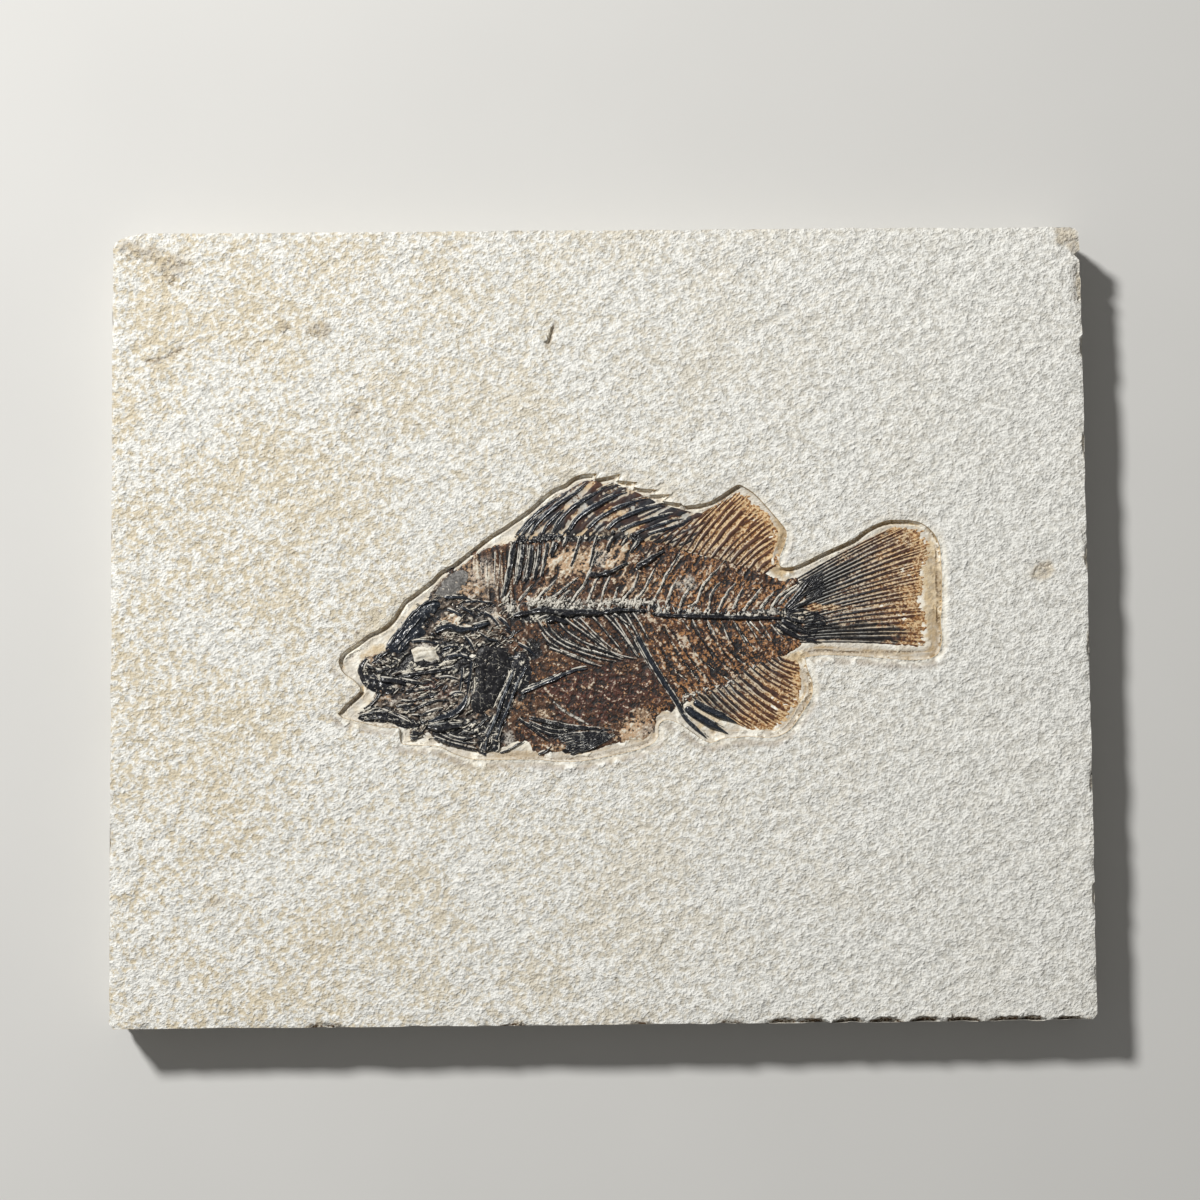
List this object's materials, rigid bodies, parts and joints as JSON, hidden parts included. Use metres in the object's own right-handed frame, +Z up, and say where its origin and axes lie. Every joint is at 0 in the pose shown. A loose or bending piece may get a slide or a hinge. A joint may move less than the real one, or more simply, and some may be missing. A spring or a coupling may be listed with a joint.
{
  "type": "fossil fish slab",
  "caption": "Spiny-finned fossil fish pressed in a shallow recess of a rectangular limestone plate that lies flat on its back.",
  "frame": {"origin": "middle of the plate's flat underside", "axes": "+X from the fish's snout to its tail, +Y from its belly to its back, +Z up out of the fossil face"},
  "size_m": [0.221, 0.18, 0.0142],
  "materials": {
    "limestone": "matt cream limestone with a fine pitted grain and ochre stains",
    "pressed_skin": "crushed brown scaly film, dull with fine specks",
    "dark_bone": "blue-black fossil bone with a soft sheen",
    "grey_bone": "grey fossil bone, matt",
    "amber_fin": "amber fin film with dark rays",
    "pale_fill": "pale matrix, matt"
  },
  "bodies": {
    "root": {"anal_fin": "amber_fin", "anal_spine_1": "dark_bone", "anal_spine_2": "dark_bone", "anal_spine_3": "dark_bone", "anal_support": "dark_bone", "backbone": "grey_bone", "brow_bone": "dark_bone", "cheek_bone": "dark_bone", "dorsal_fin_base": "dark_bone", "dorsal_spine_1": "dark_bone", "dorsal_spine_2": "dark_bone", "dorsal_spine_3": "dark_bone", "dorsal_spine_4": "dark_bone", "dorsal_spine_5": "dark_bone", "dorsal_spine_6": "dark_bone", "dorsal_spine_7": "dark_bone", "dorsal_spine_8": "dark_bone", "dorsal_spine_9": "dark_bone", "eye_socket_fill": "pale_fill", "fin_support_1": "dark_bone", "fin_support_2": "dark_bone", "fin_support_3": "dark_bone", "fin_support_4": "dark_bone", "fin_support_5": "dark_bone", "gill_cover": "dark_bone", "jaw_hinge_bone": "dark_bone", "jaw_rod": "dark_bone", "limestone_slab": "limestone", "lower_jaw": "dark_bone", "nape_plate": "dark_bone", "palate_bar": "dark_bone", "pelvic_fin": "dark_bone", "pelvic_spine": "dark_bone", "rib_1": "grey_bone", "rib_2": "grey_bone", "rib_3": "grey_bone", "rib_4": "grey_bone", "rib_5": "grey_bone", "rib_6": "grey_bone", "rib_7": "grey_bone", "rib_8": "grey_bone", "rib_9": "grey_bone", "scaly_body": "pressed_skin", "shoulder_bone": "dark_bone", "shoulder_rod": "dark_bone", "skull_roof": "dark_bone", "snout_bone": "dark_bone", "soft_dorsal_fin": "amber_fin", "tail_fin": "amber_fin", "tail_root_1": "dark_bone", "tail_root_2": "dark_bone", "tail_root_3": "dark_bone", "temple_bone": "dark_bone", "throat_bone": "dark_bone", "throat_plate": "dark_bone", "upper_jaw": "dark_bone"}
  },
  "joints": []
}
